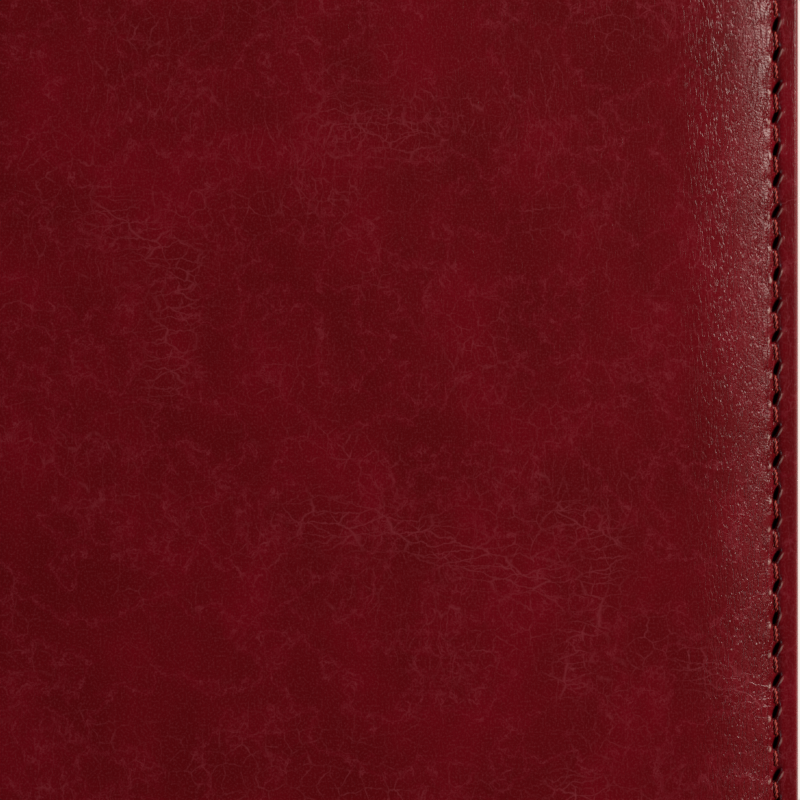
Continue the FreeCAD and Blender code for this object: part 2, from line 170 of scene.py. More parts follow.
@dataclass(frozen=True)
class Leatherette:
    """Waxed polyurethane leatherette, calendered onto cloth: a deep cloudy dye under a gloss coat,
    pale hairlines where it was creased, and grain grooves that flash only where a slope turns them.

    Places on the sheet are in millimetres, so a noise's scale is features to the millimetre.
    """

    deep: str = "#810813"
    body: str = "#890917"
    bright: str = "#94071c"
    vein: str = "#a80a2c"
    crease: str = "#c65562"
    painted_lip_glint: str = "#f2c4ba"  # painted highlight: the glint on each needle hole's lips, put into the colour
    # painted shade: the colour deep inside the needle holes
    hole: str = "#1c0406"
    roughness: float = 0.27
    cloud_mm: float = 13.0
    vein_mm: float = 1 / 0.11
    crackle_mm: float = 2.3
    run_mm: float = 1.5
    bend_mm: float = 2.2  # how far the hairlines wander from straight
    groove_mm: float = 0.62
    pebble_mm: float = 0.26
    pulled_depth: float = 0.000058  # metres, where the grain is drawn out
    plain_depth: float = 0.000007

    def build(self) -> Finish:
        """Makes the leatherette's material.

        Returns:
            The material.
        """
        material, tree = blank("waxed_leatherette")
        place = put(tree, "Attribute", None, "Vector", attribute_name=SHEET)
        pit = put(tree, "Attribute", None, "Fac", attribute_name=HOLE)
        wires = {"Vector": place, "Scale": 0.30, "Detail": 4.0}
        warp = put(tree, "TexNoise", wires, "Color", noise_dimensions="2D")
        shift = put(tree, "VectorMath", {0: warp, 1: (0.5, 0.5, 0.5)}, 0, operation="SUBTRACT")
        reach = (self.bend_mm, self.bend_mm, 0.0)
        bent = put(tree, "VectorMath", {0: shift, 1: reach, 2: place}, 0, operation="MULTIPLY_ADD")
        lines = self.hairlines(tree, bent, place)
        tips = self.grain(tree, place, 1 / self.pebble_mm, 2.0)
        lip_glint_share = put(tree, "Math", {0: pit, 1: -1.0}, 0, operation="MULTIPLY")
        colour = self.clouds(tree, bent, place)
        for source, stops, code in (
            (lines, None, self.crease),
            (tips, ((0.50, 0.0), (0.80, 0.26)), self.crease),  # the grain's tips, rubbed pale
            (lip_glint_share, ((0.35, 0.0), (0.88, 0.80)), self.painted_lip_glint),  # painted highlight on the needle holes' lips
            (pit, ((0.15, 0.0), (0.75, 1.0)), self.hole),  # painted shade inside the needle holes
        ):
            share = put(tree, "ValToRGB", {0: source}, 0, stops) if stops else source
            colour = put(tree, "Mix", {0: share, 6: colour, 7: linear(code)}, 2, data_type="RGBA")
        gloss = put(tree, "ValToRGB", {0: pit}, 0, ((0.10, 0.5), (0.6, 0.0)))
        normal = self.relief(tree, place, lines)
        wires = {"Base Color": colour, "Roughness": self.roughness, "Specular IOR Level": gloss}
        shade(tree, wires | {"Normal": normal})
        return material

    def grain(self, tree: Tree, place: Socket, scale: float, detail: float, y: float = 1.0) -> Socket:
        """Rough noise on the flat sheet, drawn out along Y.

        Args:
            tree: the material's node tree.
            place: places on the sheet.
            scale: features to the millimetre.
            detail: how many finer layers it has.
            y: under 1 to draw the features out.

        Returns:
            The pattern's value.
        """
        place = put(tree, "VectorMath", {0: place, 1: (1.0, y, 1.0)}, 0, operation="MULTIPLY")
        wires = {"Vector": place, "Scale": scale, "Detail": detail, "Roughness": 0.6}
        return put(tree, "TexNoise", wires, "Fac", noise_dimensions="2D")

    def net(
        self,
        tree: Tree,
        place: Socket,
        cell_mm: float,
        width: float,
        drawn: tuple[float, ...] = (1.0, 1.0, 1.0),
    ) -> Socket:
        """Thin lines between cells.

        Args:
            tree: the material's node tree.
            place: places on the sheet.
            cell_mm: the cells' size.
            width: the lines' width as a share of a cell.
            drawn: scales along the axes, under 1 to draw the cells out.

        Returns:
            1 on the lines and 0 off them.
        """
        place = put(tree, "VectorMath", {0: place, 1: drawn}, 0, operation="MULTIPLY")
        wires = {"Vector": place, "Scale": 1 / cell_mm}
        flat = {"feature": "DISTANCE_TO_EDGE", "voronoi_dimensions": "2D"}
        cells = put(tree, "TexVoronoi", wires, "Distance", **flat)
        return put(tree, "ValToRGB", {0: cells}, 0, ((0.0, 1.0), (width, 0.0)))

    def level_lines(self, tree: Tree, value: Socket, width: float) -> Socket:
        """Thin winding lines where a pattern passes through its middle value.

        Args:
            tree: the material's node tree.
            value: the pattern.
            width: how far from the middle value the lines reach.

        Returns:
            1 on the lines and 0 off them.
        """
        off = put(tree, "Math", {0: value, 1: 0.5}, 0, operation="SUBTRACT")
        size = put(tree, "Math", {0: off}, 0, operation="ABSOLUTE")
        return put(tree, "ValToRGB", {0: size}, 0, ((0.0, 1.0), (width, 0.0)))

    def clouds(self, tree: Tree, bent: Socket, place: Socket) -> Socket:
        """The deep and bright clouds of the dye, drawn out a little along Y, and its bright veins.

        Args:
            tree: the material's node tree.
            bent: places on the sheet, shifted to and fro.
            place: places on the sheet.

        Returns:
            The dye's colour.
        """
        broad = self.grain(tree, place, 1 / self.cloud_mm, 5.0, y=0.75)
        shades = ((0.34, linear(self.deep)), (0.5, linear(self.body)), (0.68, linear(self.bright)))
        dye = put(tree, "ValToRGB", {0: broad}, 0, shades)
        veins = self.level_lines(tree, self.grain(tree, bent, 1 / self.vein_mm, 6.0), 0.055)
        share = put(tree, "Math", {0: veins, 1: 0.22}, 0, operation="MULTIPLY")
        return put(tree, "Mix", {0: share, 6: dye, 7: linear(self.vein)}, 2, data_type="RGBA")

    def hairlines(self, tree: Tree, bent: Socket, place: Socket) -> Socket:
        """Pale hairlines: a net and long runs in creased patches, long falls and faint veins all over.

        Args:
            tree: the material's node tree.
            bent: places on the sheet, shifted to and fro.
            place: places on the sheet.

        Returns:
            How pale each place is, from 0 to 1.
        """
        creased = put(tree, "Attribute", None, "Fac", attribute_name=CREASED)
        patches = self.grain(tree, place, 0.075, 3.0)
        patches = put(tree, "ValToRGB", {0: patches}, 0, ((0.42, 0.06), (0.70, 0.85)))
        where = put(tree, "Math", {0: patches, 1: creased}, 0, operation="MAXIMUM")
        drawn = self.grain(tree, place, 0.05, 2.0)
        drawn = put(tree, "ValToRGB", {0: drawn}, 0, ((0.50, 0.0), (0.68, 0.75)))
        veins = self.level_lines(tree, self.grain(tree, bent, 1 / self.vein_mm, 6.0), 0.010)
        net = self.net(tree, bent, self.crackle_mm, 0.05)
        falls = self.net(tree, bent, self.run_mm, 0.05, (1.0, 0.22, 1.0))
        lines = put(tree, "Math", {0: net, 1: where}, 0, operation="MULTIPLY")
        for more, share in ((veins, 0.70), (falls, drawn)):
            part = put(tree, "Math", {0: more, 1: share}, 0, operation="MULTIPLY")
            lines = put(tree, "Math", {0: lines, 1: part}, 0, operation="MAXIMUM")
        broken = self.grain(tree, place, 0.7, 3.0)
        broken = put(tree, "ValToRGB", {0: broken}, 0, ((0.34, 0.06), (0.66, 0.52)))
        lines = put(tree, "Math", {0: lines, 1: broken}, 0, operation="MULTIPLY")
        runs = self.net(tree, bent, self.run_mm, 0.06, (0.30, 1.0, 1.0))
        for share in (creased, 0.42):
            runs = put(tree, "Math", {0: runs, 1: share}, 0, operation="MULTIPLY")
        return put(tree, "Math", {0: lines, 1: runs}, 0, operation="MAXIMUM")

    def relief(self, tree: Tree, place: Socket, lines: Socket) -> Socket:
        """Smooth grain with sharp grooves, drawn out along the seam where the sheet is pulled.

        Args:
            tree: the material's node tree.
            place: places on the sheet.
            lines: the pale hairlines, which lie lowest.

        Returns:
            The surface's direction.
        """
        pull = put(tree, "Attribute", None, "Fac", attribute_name=PULL)
        grooves = self.level_lines(tree, self.grain(tree, place, 1 / self.groove_mm, 2.0, y=0.20), 0.055)
        pebbles = self.grain(tree, place, 1 / self.pebble_mm, 1.0)
        pebbles = put(tree, "Math", {0: pebbles, 1: 0.5}, 0, operation="MULTIPLY")
        height = put(tree, "Math", {0: grooves, 1: -1.0, 2: pebbles}, 0, operation="MULTIPLY_ADD")
        height = put(tree, "Math", {0: height, 1: lines}, 0, operation="SUBTRACT")
        depths = {0: pull, 1: self.pulled_depth, 2: self.plain_depth}
        depth = put(tree, "Math", depths, 0, operation="MULTIPLY_ADD")
        return put(tree, "Bump", {"Strength": 1.0, "Distance": depth, "Height": height}, "Normal")


@dataclass(frozen=True)
class SewingThread:
    """Bonded polyester thread: three twisted plies, satin, redder and paler than the cover."""

    ply: str = "#de5046"
    # painted shade: the colour in the gaps between the plies
    shade: str = "#3c0908"
    roughness: float = 0.45

    def build(self) -> Finish:
        """Makes the thread's material.

        Returns:
            The material.
        """
        material, tree = blank("bonded_polyester_thread")
        place = put(tree, "Attribute", None, "Vector", attribute_name=SHEET)
        crown = put(tree, "Attribute", None, "Fac", attribute_name=CROWN)
        fibres = put(tree, "TexNoise", {"Vector": place, "Scale": 3.0, "Detail": 2.0}, "Fac")
        # Random fibre tone, with painted shade where the crown value falls between the plies
        fibre_tone_and_ply_shade = put(tree, "Math", {0: fibres, 1: 0.9, 2: crown}, 0, operation="MULTIPLY_ADD")
        shades = ((0.55, linear(self.shade)), (1.0, linear(self.ply)))
        colour = put(tree, "ValToRGB", {0: fibre_tone_and_ply_shade}, 0, shades)
        bump = put(tree, "Bump", {"Strength": 0.5, "Distance": 0.00002, "Height": fibres}, "Normal")
        shade(tree, {"Base Color": colour, "Roughness": self.roughness, "Normal": bump})
        return material


@dataclass(frozen=True)
class Solid:
    """A plain finish: one colour that a fine noise varies, with a slight unevenness."""

    name: str
    dark: str
    pale: str
    roughness: float
    grain_mm: float
    depth_mm: float = 0.01
    metallic: float = 0.0

    def build(self) -> Finish:
        """Makes the material on Object coordinates.

        Returns:
            The material.
        """
        material, tree = blank(self.name)
        place = put(tree, "TexCoord", None, "Object")
        grain = put(tree, "TexNoise", {"Vector": place, "Scale": 1000 / self.grain_mm, "Detail": 3.0}, "Fac")
        shades = ((0.35, linear(self.dark)), (0.65, linear(self.pale)))
        colour = put(tree, "ValToRGB", {0: grain}, 0, shades)
        wires = {"Strength": 1.0, "Distance": self.depth_mm * MM, "Height": grain}
        bump = put(tree, "Bump", wires, "Normal")
        wires = {"Base Color": colour, "Roughness": self.roughness, "Metallic": self.metallic}
        shade(tree, wires | {"Normal": bump})
        return material


@dataclass(frozen=True)
class WovenCloth:
    """Charcoal bookbinding cloth in a plain weave, glued down as the covers' lining."""

    dark: str = "#1b1a1d"
    pale: str = "#3c3a40"
    roughness: float = 0.85
    thread_mm: float = 0.55

    def build(self) -> Finish:
        """Makes the cloth's material from two crossed sets of threads.

        Returns:
            The material.
        """
        material, tree = blank("charcoal_binding_cloth")
        place = put(tree, "TexCoord", None, "Object")
        wires = {"Vector": place, "Scale": math.tau / 20 / (self.thread_mm * MM), "Distortion": 0.3}
        ways = [put(tree, "TexWave", wires, "Fac", bands_direction=way) for way in ("X", "Y")]
        weave = put(tree, "Math", {0: ways[0], 1: ways[1]}, 0, operation="MAXIMUM")
        shades = ((0.3, linear(self.dark)), (1.0, linear(self.pale)))
        colour = put(tree, "ValToRGB", {0: weave}, 0, shades)
        bump = put(tree, "Bump", {"Strength": 0.8, "Distance": 0.00008, "Height": weave}, "Normal")
        shade(tree, {"Base Color": colour, "Roughness": self.roughness, "Normal": bump})
        return material


@dataclass(frozen=True)
class ClearFilm:
    """Soft clear PVC film of the pocket pages, welded from two sheets."""

    tint: str = "#f4f7f8"
    roughness: float = 0.06
    clear: float = 0.92
    ior: float = 1.2  # thin film in air bends light less than solid PVC does

    def build(self) -> Finish:
        """Makes the film's material, slightly uneven so that its reflections ripple.

        Returns:
            The material.
        """
        material, tree = blank("clear_pvc_film")
        place = put(tree, "TexCoord", None, "Object")
        ripple = put(tree, "TexNoise", {"Vector": place, "Scale": 70.0, "Detail": 2.0}, "Fac")
        bump = put(tree, "Bump", {"Strength": 0.5, "Distance": 0.0002, "Height": ripple}, "Normal")
        wires = {"Base Color": linear(self.tint), "Roughness": self.roughness, "IOR": self.ior}
        shade(tree, wires | {"Transmission Weight": self.clear, "Normal": bump})
        return material


FRAME_FINISHES = {
    # Pressed from waste paper: dull and grey, with soft flecks
    "board": Solid("grey_binding_board", "#8d877c", "#a39d92", 0.9, 1.2, 0.03),
    # Cut from an open-celled block: cream, quite matt, pitted
    "foam": Solid("polyether_foam", "#d9d3c2", "#e8e3d5", 0.95, 0.8, 0.1),
    "lining": WovenCloth(),
    # Pressed and nickel plated: bright and a little soft
    "mechanism_steel": Solid("nickel_plated_channel", "#a9a8a6", "#bdbcba", 0.22, 3.0, 0.001, 1.0),
    # Drawn wire, nickel plated: brighter than the channel
    "ring_steel": Solid("nickel_plated_wire", "#b7b6b3", "#c6c5c2", 0.16, 3.0, 0.001, 1.0),
    # Rolled and tempered: darker, with a satin sheen
    "spring_steel": Solid("blued_spring_steel", "#77787b", "#8a8b8e", 0.32, 2.0, 0.002, 1.0),
    # Dyed in the pulp and uncoated: near black without gloss
    "interleaf_card": Solid("black_interleaf_card", "#151516", "#1e1e20", 0.75, 0.4, 0.02),
    "page_film": ClearFilm(),
}


# ---------------------------------------------------------------------------------------------
# The sewn rim shared by covers, joints and spine


@dataclass(frozen=True)
class Stitching:
    """A row of machine stitches, in millimetres: needle holes that slant across a groove.

    Places are measured along the row from its start, and across it from the sheet's edge.
    """

    pitch: float
    inset: float = 2.8
    slant: float = math.radians(24)
    groove: float = 0.34
    groove_width: float = 0.42
    depth: float = 0.46
    hole_reach: float = 1.02  # half a needle hole's length
    hole_width: float = 0.32  # half its width
    hole_taper: float = 0.13  # how much narrower it is at its ends
    # A lip's middle and spread along its hole, the same across it, and its height
    inner_lip: tuple[float, ...] = (0.95, 0.42, 0.35, 0.24, 0.15)
    outer_lip: tuple[float, ...] = (-0.25, 0.80, -0.47, 0.20, 0.26)
    outer_lip_glint: float = 0.85  # how strongly the outer lip's painted highlight shows, against 1 on the inner lip
    pucker: float = 0.05
    # The mesh's columns in one stitch, from its needle hole
    near_hole: tuple[float, ...] = (-1.40, -1.02, -0.76, -0.50, -0.25, 0.0, 0.25, 0.50, 0.76, 1.02, 1.40)
    # The mesh's rows, from the seam line
    near_seam: tuple[float, ...] = (
        -1.15, -0.85, -0.64, -0.47, -0.31, -0.15, 0.0, 0.15, 0.31, 0.47, 0.64, 0.85, 1.15, 1.5,
    )

    def columns(self, count: int) -> Array:
        """Places of the mesh's columns along a row.

        Args:
            count: how many stitches the row has.

        Returns:
            Distances from the row's start.
        """
        marks = [0.0]
        for stitch in range(count):
            hole = (stitch + 0.5) * self.pitch
            marks += [hole + step for step in self.near_hole] + [(stitch + 1) * self.pitch]
        return np.array(marks)

    def rows(self) -> Array:
        """Places of the mesh's rows across the seam."""
        return self.inset + np.array(self.near_seam)

    def hole_parts(self, along: Array, across: Array) -> tuple[Array, Array, Array]:
        """How much points lie in their nearest needle hole, and on the two lips that it raises.

        No two holes lie quite alike: each wanders a little along, across and in its slant.

        Args:
            along: distances along the seam.
            across: distances in from the sheet's edge.

        Returns:
            0 to 1 for the hole, for its inner lip and for its outer one.
        """
        number = np.floor(along / self.pitch)
        from_hole = (along / self.pitch - number - 0.5) * self.pitch - 0.16 * np.sin(number * 2.9 + 0.4)
        inward = across - self.inset - 0.07 * np.sin(number * 4.3)
        slant = self.slant + 0.12 * np.sin(number * 1.7 + 1.1)
        c, s = np.cos(slant), np.sin(slant)
        a, b = from_hole * c + inward * s, inward * c - from_hole * s
        half_width = self.hole_width - self.hole_taper * np.clip(np.abs(a), 0, 1) ** 2
        hole = np.exp(-((np.abs(a) / self.hole_reach) ** 4) - (np.abs(b) / half_width) ** 3)
        inner, outer = (
            np.exp(-(((a - mid_a) / wide_a) ** 2) - ((b - mid_b) / wide_b) ** 2)
            for mid_a, wide_a, mid_b, wide_b, _ in (self.inner_lip, self.outer_lip)
        )
        return hole, inner, outer

    def hole_value(self, along: Array, across: Array) -> Array:
        """Needle-hole values: 1 deep in a hole, for its painted shade, down to -1 on its lips, for their
        painted highlight.
        """
        hole, inner, outer = self.hole_parts(along, across)
        return hole - np.maximum(inner, self.outer_lip_glint * outer) * (1 - hole)

    def relief(self, along: Array, across: Array) -> Array:
        """Height of the stitched sheet above its plain face.

        Args:
            along: distances along the seam.
            across: distances in from the sheet's edge.

        Returns:
            The groove, the needle holes and the lips that they raise, in millimetres.
        """
        inward = across - self.inset
        groove = -self.groove * np.exp(-((inward / self.groove_width) ** 2))
        hole, inner, outer = self.hole_parts(along, across)
        wave = self.pucker * np.cos(2 * np.pi * (along - 0.6 * inward) / self.pitch)
        puckers = wave * np.exp(-((inward - 0.9) ** 2))
        lips = self.inner_lip[-1] * inner + self.outer_lip[-1] * outer
        return groove + lips + puckers - self.depth * hole


@dataclass(frozen=True)
class CoverSeam:
    """The line of a cover's stitches in plan: head run, fore edge, tail run, in millimetres."""

    start_x: float
    fore_x: float
    half_length: float
    corner: float = 6.0  # the cover's corner
    inset: float = 2.8
    wanted_pitch: float = 3.767

    @property
    def centre_x(self) -> float:
        """Where the fore corners' arcs are centred along X."""
        return self.fore_x - self.corner

    @property
    def centre_y(self) -> float:
        """Where the corners' arcs are centred along Y, from the middle."""
        return self.half_length - self.corner

    @property
    def straight(self) -> float:
        """Length of the head run, and of the tail run."""
        return self.centre_x - self.start_x

    @property
    def arc(self) -> float:
        """Length of one corner along the stitches."""
        return (self.corner - self.inset) * math.pi / 2

    @property
    def length(self) -> float:
        """Length of the whole row."""
        return 2 * (self.straight + self.arc + self.centre_y)

    @property
    def count(self) -> int:
        """How many needle holes fit, an even number so that both ends match."""
        return 2 * round(self.length / self.wanted_pitch / 2)

    @property
    def stitching(self) -> Stitching:
        """The row's stitches, spread evenly over its length."""
        return Stitching(self.length / self.count, self.inset)

    def plan(self, along: Array, across: Array) -> tuple[Array, Array]:
        """Plan positions of points given along the seam and in from the cover's edge.

        Args:
            along: distances along the seam.
            across: distances in from the cover's edge.

        Returns:
            The X and the Y of each point.
        """
        ends = np.cumsum([self.straight, self.arc, 2 * self.centre_y, self.arc])
        radius = self.corner - across
        turn = np.pi / 2 / self.arc
        first = np.pi / 2 - (along - ends[0]) * turn
        second = -(along - ends[2]) * turn
        runs = [along <= end for end in ends]
        x = np.select(
            runs,
            [
                self.start_x + along,
                self.centre_x + radius * np.cos(first),
                self.fore_x - across,
                self.centre_x + radius * np.cos(second),
            ],
            self.centre_x - (along - ends[3]),
        )
        y = np.select(
            runs,
            [
                self.half_length - across,
                self.centre_y + radius * np.sin(first),
                self.centre_y - (along - ends[1]),
                radius * np.sin(second) - self.centre_y,
            ],
            across - self.half_length,
        )
        return x, y


def make_object(
    name: str, points: Array, faces: list, material: Finish, sheet: Array
) -> Piece:
    """Makes a mesh object at the origin from points in millimetres.

    Args:
        name: the piece's name.
        points: vertex places in millimetres.
        faces: vertex numbers of each face, turned outwards.
        material: the finish.
        sheet: each vertex's place on its flat sheet, for patterns that stay put as it bends.

    Returns:
        The new object, smooth shaded and linked to the scene.
    """
    mesh = bpy.data.meshes.new(name)
    mesh.from_pydata((points * MM).tolist(), [], faces)
    mesh.polygons.foreach_set("use_smooth", [True] * len(mesh.polygons))
    mesh.materials.append(material)
    store = mesh.attributes.new(SHEET, "FLOAT_VECTOR", "POINT")
    store.data.foreach_set("vector", np.asarray(sheet, np.float32).ravel())
    made = bpy.data.objects.new(name, mesh)
    bpy.context.scene.collection.objects.link(made)
    return made


def pick(*pieces: Piece) -> None:
    """Selects these pieces alone, and makes the last of them active.

    Args:
        pieces: the pieces, or none.
    """
    bpy.ops.object.select_all(action="DESELECT")
    for piece in pieces:
        bpy.context.view_layer.objects.active = piece
        piece.select_set(True)


def turn_outwards(piece: Piece, sharp: float = math.radians(75)) -> None:
    """Makes a closed piece's normals point out of it and marks its square edges sharp.

    Args:
        piece: the piece.
        sharp: edges that turn by more than this are marked.
    """
    pick(piece)
    bpy.ops.object.mode_set(mode="EDIT")
    bpy.ops.mesh.select_all(action="SELECT")
    bpy.ops.mesh.normals_make_consistent(inside=False)
    bpy.ops.mesh.select_all(action="DESELECT")
    bpy.ops.mesh.select_mode(type="EDGE")
    bpy.ops.mesh.edges_select_sharp(sharpness=sharp)
    bpy.ops.mesh.mark_sharp()
    bpy.ops.object.mode_set(mode="OBJECT")


def store_value(piece: Piece, name: str, values: Array) -> None:
    """Stores one number for each vertex of a piece."""
    store = piece.data.attributes.new(name, "FLOAT", "POINT")
    store.data.foreach_set("value", np.asarray(values, np.float32))


class MeshBook:
    """Collects points and the faces between them."""

    def __init__(self) -> None:
        """Starts an empty mesh."""
        self.points: list[Array] = []
        self.holes: list[Array] = []
        self.faces: list[tuple[int, ...]] = []
        self.size = 0

    def add(self, x: Array, y: Array, z: Array | float, hole: Array | float = 0.0) -> Array:
        """Adds points.

        Args:
            x: places along X, in millimetres.
            y: places along Y.
            z: heights.
            hole: needle-hole value of each point.

        Returns:
            The numbers of the new points, in the shape of x.
        """
        x, y, z, hole = np.broadcast_arrays(x, y, z, hole)
        self.points.append(np.stack([x.ravel(), y.ravel(), z.ravel()], 1))
        self.holes.append(hole.ravel())
        numbers = np.arange(self.size, self.size + x.size).reshape(x.shape)
        self.size += x.size
        return numbers

    def quads(self, grid: Array) -> None:
        """Adds the quads between neighbouring points of a grid of point numbers."""
        a, b, c, d = grid[:-1, :-1], grid[:-1, 1:], grid[1:, 1:], grid[1:, :-1]
        self.faces += [tuple(q) for q in np.stack([a, b, c, d], -1).reshape(-1, 4).tolist()]

    def step_down(self, fine: Array, coarse: Array, fine_first: bool) -> None:
        """Joins a fine row of point numbers to a coarse one.

        Args:
            fine: the row with several points to each coarse step.
            coarse: the other row.
            fine_first: whether the faces start with their fine side, which turns them.
        """
        each = (len(fine) - 1) // (len(coarse) - 1)
        for i in range(len(coarse) - 1):
            run = fine[i * each : (i + 1) * each + 1].tolist()
            pair = [int(coarse[i + 1]), int(coarse[i])]
            face = run + pair if fine_first else run[::-1] + pair[::-1]
            self.faces.append(tuple(face))


# Patches where the cover was creased, as lines of (x, y) in mm with a half-width in mm
CREASES = (
    (((49.0, -16.2), (60.0, -17.5), (72.0, -22.2), (79.0, -24.2)), 3.2),
    (((79.0, -15.2), (85.0, -18.7), (83.0, -27.7), (80.0, -35.7)), 2.6),
    (((95.0, -33.2), (104.0, -38.2)), 2.8),
    (((80.0, -48.7), (97.0, -54.7)), 3.0),
    (((52.0, 31.8), (62.0, 29.3)), 3.2),
    (((25.0, 20.3), (34.0, 14.3), (32.0, 0.3)), 3.0),
)


def drawn_out(inward: Array) -> Array:
    """How far the grain is drawn out at distances in from the seam, from 0 to 1."""
    return np.clip(1 - inward / 12.5, 0, 1) ** 1.4 * np.clip(inward / 0.4 + 0.3, 0, 1)


def creased(x: Array, y: Array) -> Array:
    """How much points in plan lie in the creased patches.

    Args:
        x: places along X, in millimetres.
        y: places along Y.

    Returns:
        0 outside the patches to 1 along their middle lines.
    """
    most = np.zeros(np.shape(x))
    for line, width in CREASES:
        for (ax, ay), (bx, by) in zip(line, line[1:]):
            run_x, run_y = bx - ax, by - ay
            part = np.clip(((x - ax) * run_x + (y - ay) * run_y) / (run_x**2 + run_y**2), 0, 1)
            off = np.hypot(x - ax - part * run_x, y - ay - part * run_y)
            most = np.maximum(most, np.exp(-((off / width) ** 2)))
    return most


@dataclass
class CoverSkin:
    """One cover's leatherette: sewn rim, rolled edge, turned-in margin and puffed field."""

    side: Side
    leather: Finish
    joint_flat: float = 3.0  # the joint strip laps this far onto the cover
    rim: float = 3.4
    roll: float = 0.6
    puff: float = 1.65
    puff_width: float = 10.0
    puff_inset: float = 3.1
    hinge_puff_inset: float = 5.0
    puff_blend: float = 3.0  # how widely two sides of the puff merge at a corner
    turn_in: float = 12.0
    turned_sheet: float = 0.5
    coarse_each: int = 4
    wrap: float = -244.2  # the sheet's places on the back cover count back from here
    hollow: float = 0.09  # how deep the padding's slight hollows are
    hollow_size: tuple[float, float] = (24.0, 31.0)  # how wide they are along X and along Y
    thread_dent: tuple[float, float] = (0.35, 0.16)  # half width and depth under the lower thread
    seam: CoverSeam = field(init=False)

    def __post_init__(self) -> None:
        """Takes the cover's sizes from the frame."""
        low, high = box_mm(f"{self.side.word}_leather")
        self.joint_x, self.fore_x, self.half = low.x, high.x, high.y
        self.inner_z = low.z if self.side is Side.FRONT else high.z
        self.seam = CoverSeam(self.joint_x + self.joint_flat, self.fore_x, self.half)
        self.stitching = self.seam.stitching

    def puffed(self, x: Array, y: Array) -> Array:
        """Height of the padded field above the rim.

        Args:
            x: places along X, in millimetres.
            y: places along Y.

        Returns:
            0 outside the padding to its full puff.
        """
        from_edge = np.minimum(self.fore_x - self.puff_inset - x, x - self.joint_x - self.hinge_puff_inset)
        from_end = self.half - self.puff_inset - np.abs(y)
        mix = np.clip(0.5 + (from_end - from_edge) / (2 * self.puff_blend), 0, 1)
        inward = from_end + (from_edge - from_end) * mix - self.puff_blend * mix * (1 - mix)
        part = np.clip(inward / self.puff_width, 0, 1)
        return self.puff * (1 - (1 - part) ** 2.3)

    def pulled(self, x: Array, y: Array) -> Array:
        """How far the grain is drawn out along the seam, by distance from the padding's foot."""
        return drawn_out(np.minimum(self.fore_x - x, self.half - np.abs(y)) - self.seam.inset)

    def sheet_x(self, x: Array) -> Array:
        """Places along the one sheet that wraps the front cover, the spine and the back cover."""
        return x if self.side is Side.FRONT else self.wrap - x

    def top(self, along: Array, across: Array) -> tuple[Array, ...]:
        """The sewn rim's points.

        Args:
            along: distances along the seam.
            across: distances in from the sheet's edge.

        Returns:
            Their X, Y, height and needle-hole values.
        """
        x, y = self.seam.plan(along, across)
        z = self.rim + self.stitching.relief(along, across) + self.puffed(x, y)
        return x, y, z, self.stitching.hole_value(along, across)

    def build(self) -> Piece:
        """Builds the closed skin and puts it on its cover.

        Returns:
            The finished piece.
        """
        book = MeshBook()
        fine = self.stitching.columns(self.seam.count)
        coarse = fine[:: self.coarse_each]
        sewn = self.stitching.rows()
        across, along = np.meshgrid(sewn, fine, indexing="ij")
        sewn_rows = book.add(*self.top(along, across))
        book.quads(sewn_rows)
        rows = self.edge_rows(book, coarse)
        book.step_down(sewn_rows[0], rows[0], fine_first=False)
        book.quads(np.array(rows)[::-1])
        foot = book.add(*self.top(coarse, np.full_like(coarse, sewn[-1] + 0.45)))
        book.step_down(sewn_rows[-1], foot, fine_first=True)
        strip = self.fill_field(book, foot)
        self.close_back(book, rows, sewn_rows, foot, strip)
        return self.finish(book)

    def edge_rows(self, book: MeshBook, coarse: Array) -> list[Array]:
        """Adds the rolled edge and turned-in margin: one section, carried round the three free edges.

        Args:
            book: the mesh so far.
            coarse: the section's places along the seam.

        Returns:
            The point numbers of each row, from the sewn rim to the margin's end.
        """
        middle = self.rim / 2
        section = [(1.1, self.rim)]  # distances in from the edge, and heights
        for turn in np.linspace(math.pi / 2, -math.pi / 2, 13):
            rise = math.copysign(abs(math.sin(turn)) ** 0.6, math.sin(turn))
            section.append((self.roll * (1 - math.cos(turn)), middle + middle * rise))
        inset, (wide, deep) = self.seam.inset, self.thread_dent
        section += [(inset - wide, 0.0), (inset, deep), (inset + wide, 0.0), (self.turn_in - 0.3, 0.0)]
        section += [(self.turn_in, 0.12), (self.turn_in, self.turned_sheet)]
        rows = []
        for step, height in section:
            inset_here = min(step, self.seam.corner - 0.4)
            x, y = self.seam.plan(coarse, np.full_like(coarse, inset_here))
            if step > inset_here:
                x, y = self.drawn_in(x, y, step - inset_here)
            rows.append(book.add(x, y, height))
        return rows

    def drawn_in(self, x: Array, y: Array, more: float) -> tuple[Array, Array]:
        """Moves plan points further in from the free edges, keeping the rows apart at the corners.

        Args:
            x: places along X, in millimetres.
            y: places along Y.
            more: how far to move them.

        Returns:
            The new X and Y.
        """
        reach_x, reach_y = self.seam.centre_x, self.seam.centre_y
        scale_x = (reach_x - more - self.seam.start_x) / (reach_x - self.seam.start_x)
        scale_y = (reach_y - more) / reach_y
        arc_x = np.maximum(x - reach_x, 0)
        arc_y = np.maximum(np.abs(y) - reach_y, 0)
        flat_x = self.seam.start_x + (np.minimum(x, reach_x) - self.seam.start_x) * scale_x
        flat_y = np.sign(y) * (np.minimum(np.abs(y), reach_y) * scale_y + arc_y)
        return flat_x + arc_x, flat_y

